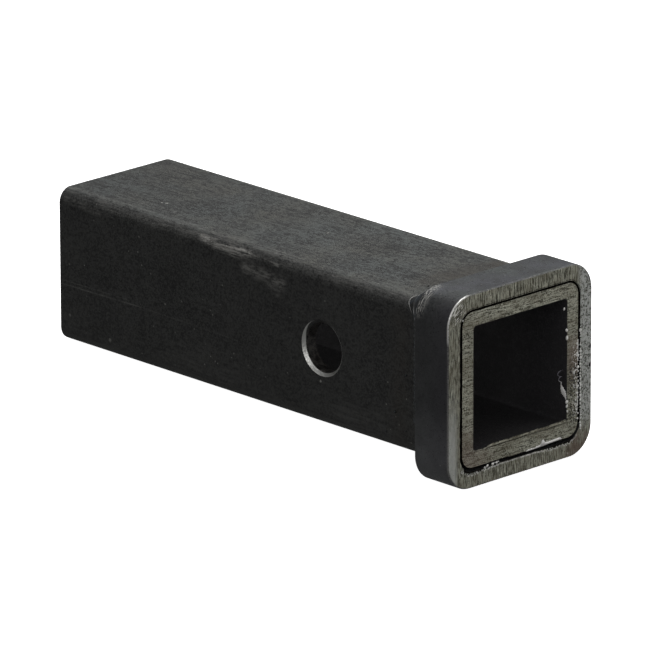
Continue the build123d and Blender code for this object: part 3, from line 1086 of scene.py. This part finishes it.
class RECEIVER_OT_burrs(bpy.types.Operator):
    """Leaves the saw's burrs on the mouth: a lip, a curled shaving, torn edges and beads along the gap."""

    bl_idname = "receiver.burrs"
    bl_label = "Leave the burrs"

    def execute(self, context):
        burr = context.scene.receiver.burr
        material = burr_metal(context.scene.receiver.finish)
        steel = frame["nodes"]["receiver_tube"].data.materials[0]
        self.leave_lip(burr, steel)
        self.leave_curl(burr, material)
        self.leave_torn_edges(burr, material)
        self.leave_smear(burr, steel)
        self.leave_beads(burr, material)
        return {"FINISHED"}

    @staticmethod
    def leave_lip(burr, steel):
        """Fin along the opening's lower edge, low at its left end and rising in a step.

        Its height is a logistic step times a straight swell near the right end, plus
        two uneven lines, one fine and one slow.
        """
        count, half_run = 330, 0.0250
        step_at, step_length = -0.0178, 0.00030
        run = np.linspace(-half_run, half_run, count)
        step = 1 / (1 + np.exp(-(run - step_at) / step_length))
        swell = 1 + 0.25 * np.clip((run - 0.014) / 0.010, 0, 1)
        rag = 0.22 * (ragged(count, 8, 5) - 0.5) + 0.25 * (ragged(count, 9, 31) - 0.5)
        heights = burr.lip_height * np.clip((0.42 + 0.58 * step) * swell + rag, 0.1, None)
        base = np.stack([np.full(count, mouth_x + 0.00002), run, np.full(count, -socket_half - 0.0001)], -1)
        mesh = fin_mesh("mouth_lip", base, (0.02, 0.0, 1.0), heights, burr.lip_thickness)
        place_piece("mouth_lip", mesh, steel)

    @staticmethod
    def leave_curl(burr, material):
        """Shaving on the opening's +Y edge: a curl of just over two turns, then a strip to the corner.

        The middle line is a smooth curve through knots, and the curl adds a circle
        that turns as the line goes down and shrinks to nothing where the strip begins.
        """
        count, turns, strip_from, thickness = 240, 2.3, 0.5, 0.00035
        line = smooth_line(np.array(curl_knots_mm), count) * millimetre
        share = np.linspace(0, 1, count)
        radius = burr.curl_radius * np.clip(1 - share / strip_from, 0, 1) ** 0.5
        turn = 2 * math.pi * turns * share / strip_from
        line[:, 0] += radius * np.sin(turn + 0.8) * 0.5
        line[:, 1] += radius * np.cos(turn)
        line[:, 2] += radius * np.sin(turn) * 0.7
        middle = np.exp(-(((share - 0.72) / 0.15) ** 2))
        widths = burr.curl_width * (0.25 + 1.3 * middle) * (0.6 + 0.8 * ragged(count, 12, 7))
        mesh = strip_mesh("mouth_curl", line, np.array([0.55, 0.8, 0.2]), widths, thickness)
        place_piece("mouth_curl", mesh, material)

    @staticmethod
    def leave_torn_edges(burr, material):
        """Ragged ribbons flat on the face beside the gap: inside it on the +Y side, and above it below.

        Each one's width is a clipped parabola along its run times an uneven line.
        """
        thickness = 0.0003
        for name, start, end, lean, width, least, window, seed in torn_edges:
            start, end = np.array([mouth_x, *start]), np.array([mouth_x, *end])
            count = int(np.linalg.norm(end - start) / burr.torn_step)
            share = np.linspace(0, 1, count)
            base = start + (end - start) * share[:, None] + np.array([burr.torn_lift, 0.0, 0.0])
            fade = np.clip(12 * share * (1 - share), 0.05, 1)
            heights = width * fade * np.clip(1.5 * ragged(count, seed, window) - 0.2, least, 1.2)
            place_piece(name, fin_mesh(name, base, lean, heights, thickness), material)

    @staticmethod
    def leave_smear(burr, steel):
        """Steel dragged down over the middle of the gap below the tube, its drop a clipped half sine."""
        count, left, right, thickness = 220, -0.0085, 0.0100, 0.0004
        run = np.linspace(left, right, count)
        drop = burr.smear_width * np.clip(np.sin(np.linspace(0, math.pi, count)) * 1.6, 0, 1)
        drop = drop * (0.85 + 0.3 * (ragged(count, 37, 7) - 0.5))
        level = -tube_half + tube_edge_break + 0.0002
        base = np.stack([np.full(count, mouth_x + 0.00003), run, np.full(count, level)], -1)
        mesh = fin_mesh("torn_lower_middle", base, (-0.02, 0.0, -1.0), drop, thickness)
        place_piece("torn_lower_middle", mesh, steel)

    @staticmethod
    def leave_beads(burr, material):
        """Beads of torn metal down both lips of the gap's +Y side, and larger ones here and there.

        The rows are evenly spaced places moved by small random steps, and each bead is
        flatter along X than across.
        """
        draw = np.random.default_rng(5)
        rows = []
        for lip, high, low, spacing in bead_rows:
            down = np.arange(low, high, burr.bead_spacing * spacing)
            rows.append(np.stack([np.full(down.size, lip), down + draw.normal(0, 0.0002, down.size)], -1))
        places = np.concatenate(rows)
        places += draw.normal(0, 0.00012, places.shape)
        size = burr.bead_radius * draw.uniform(0.4, 1.45, len(places))
        places = np.concatenate([places, large_beads])
        size = np.concatenate([size, burr.bead_radius * draw.uniform(0.9, 1.5, len(large_beads))])
        centres = np.column_stack([np.full(len(places), mouth_x), places])
        flattened = np.minimum(size * 0.6, 0.00028)
        radii = np.stack([flattened, size, size * draw.uniform(0.8, 1.4, len(size))], -1)
        place_piece("gap_burrs", pebble_mesh("gap_burrs", centres, radii, 6), material)


class RECEIVER_OT_studio(bpy.types.Operator):
    """Sets the floor, the backdrop, the soft lights and the camera."""

    bl_idname = "receiver.studio"
    bl_label = "Set the studio"

    def execute(self, context):
        studio = context.scene.receiver.studio
        context.scene.view_settings.view_transform = "Standard"
        self.set_floor(studio)
        self.set_backdrop()
        self.set_surround(context.scene, studio)
        self.set_lights(studio)
        self.set_camera(context.scene, studio)
        return {"FINISHED"}

    @staticmethod
    def pale(name, colour, glow):
        """Matt surface with a glow of its own, as a lit backdrop has."""
        material = bpy.data.materials.new(name)
        material.use_nodes = True
        shader = material.node_tree.nodes["Principled BSDF"]
        shader.inputs["Base Color"].default_value = (*colour, 1.0)
        shader.inputs["Roughness"].default_value = 0.9
        shader.inputs["Specular IOR Level"].default_value = 0.0
        shader.inputs["Emission Color"].default_value = (1.0, 1.0, 1.0, 1.0)
        shader.inputs["Emission Strength"].default_value = glow
        return material

    def set_floor(self, studio):
        """Floor through the two lowest edges, the tube's far end and the collar's back."""
        fall = (tube_low.z - collar_low.z) / (collar_back_x - rear_x)
        run = np.array([-studio_reach, studio_reach, studio_reach, -studio_reach])
        side = np.array([-studio_reach, -studio_reach, studio_reach, studio_reach])
        height = tube_low.z - fall * (run - rear_x) - floor_clearance
        mesh = bpy.data.meshes.new("floor")
        mesh.from_pydata(np.stack([run, side, height], -1).tolist(), [], [(0, 1, 2, 3)])
        self.add_stage("floor", mesh, self.pale("floor", studio.floor_colour, studio.floor_glow))

    def set_backdrop(self):
        """Dome about the floor: the part of a sphere above a low angle, on a grid of rise and turn."""
        rise = np.linspace(-0.4, math.pi / 2 - 0.01, 16)[:, None]
        turn = np.linspace(0, 2 * math.pi, 48, endpoint=False)
        level = np.sin(rise) * np.ones(turn.size)
        dome = np.stack([np.cos(rise) * np.cos(turn), np.cos(rise) * np.sin(turn), level], -1)
        mesh = skin("backdrop", dome * studio_reach * 1.2)
        self.add_stage("backdrop", mesh, self.pale("backdrop", (0.0, 0.0, 0.0), 1.0))

    @staticmethod
    def add_stage(name, mesh, material):
        """A thing of the studio, seen by the camera and not mirrored in the steel."""
        mesh.materials.append(material)
        thing = bpy.data.objects.new(name, mesh)
        bpy.context.scene.collection.objects.link(thing)
        thing.visible_glossy = False
        thing.visible_diffuse = False
        thing.visible_shadow = False

    @staticmethod
    def set_surround(scene, studio):
        """Even grey light from all round."""
        scene.world = bpy.data.worlds.new("studio")
        scene.world.use_nodes = True
        background = scene.world.node_tree.nodes["Background"]
        background.inputs["Color"].default_value = (1.0, 1.0, 1.0, 1.0)
        background.inputs["Strength"].default_value = studio.surround

    @staticmethod
    def set_lights(studio):
        """Soft boxes that face the part, and a small lamp behind it that shines through the socket."""
        for name, place, (width, height) in lamps:
            light = bpy.data.lights.new(name, "AREA")
            light.shape = "RECTANGLE"
            light.size = width
            light.size_y = height
            light.energy = getattr(studio, name)
            lamp = bpy.data.objects.new(name, light)
            lamp.location = place
            lamp.rotation_euler = (-Vector(place)).to_track_quat("-Z", "Y").to_euler()
            lamp.visible_camera = False
            bpy.context.scene.collection.objects.link(lamp)

    @staticmethod
    def set_camera(scene, studio):
        """Camera at the view of the photograph, its axes worked out from the three angles."""
        azimuth, elevation, roll = (math.radians(angle) for angle in camera_angles)
        ahead = Vector((-math.sin(azimuth), math.cos(azimuth), 0)) * math.cos(elevation)
        back = Vector((0, 0, math.sin(elevation))) - ahead
        level = Vector((0, 0, 1)).cross(back).normalized()
        upright = back.cross(level)
        right = math.cos(roll) * level + math.sin(roll) * upright
        up = math.cos(roll) * upright - math.sin(roll) * level
        data = bpy.data.cameras.new("camera")
        data.sensor_width = 36
        data.lens = studio.lens
        data.clip_start = 0.1
        data.clip_end = 100
        camera = bpy.data.objects.new("camera", data)
        axes = Matrix((right, up, back)).transposed().to_4x4()
        camera.matrix_world = Matrix.Translation(Vector(camera_place)) @ axes
        scene.collection.objects.link(camera)
        scene.camera = camera


operators = (RECEIVER_OT_tube, RECEIVER_OT_collar, RECEIVER_OT_weld, RECEIVER_OT_burrs, RECEIVER_OT_studio)


class RECEIVER_PT_panel(bpy.types.Panel):
    """Lists the receiver tube's operators and sizes."""

    bl_idname = "RECEIVER_PT_panel"
    bl_label = "Receiver tube"
    bl_space_type = "VIEW_3D"
    bl_region_type = "UI"
    bl_category = "Receiver"

    def draw(self, context):
        for operator in operators:
            self.layout.operator(operator.bl_idname)
        settings = context.scene.receiver
        for group in (settings.bead, settings.burr, settings.finish, settings.studio):
            box = self.layout.box()
            for name in group.__annotations__:
                box.prop(group, name)


classes = (
    BeadSettings,
    BurrSettings,
    FinishSettings,
    StudioSettings,
    ReceiverSettings,
    *operators,
    RECEIVER_PT_panel,
)


def register():
    for kind in classes:
        bpy.utils.register_class(kind)
    bpy.types.Scene.receiver = PointerProperty(type=ReceiverSettings)


def unregister():
    del bpy.types.Scene.receiver
    for kind in reversed(classes):
        bpy.utils.unregister_class(kind)


def main():
    register()
    for operator in operators:
        group, name = operator.bl_idname.split(".")
        getattr(getattr(bpy.ops, group), name)()


if __name__ == "__main__":
    main()
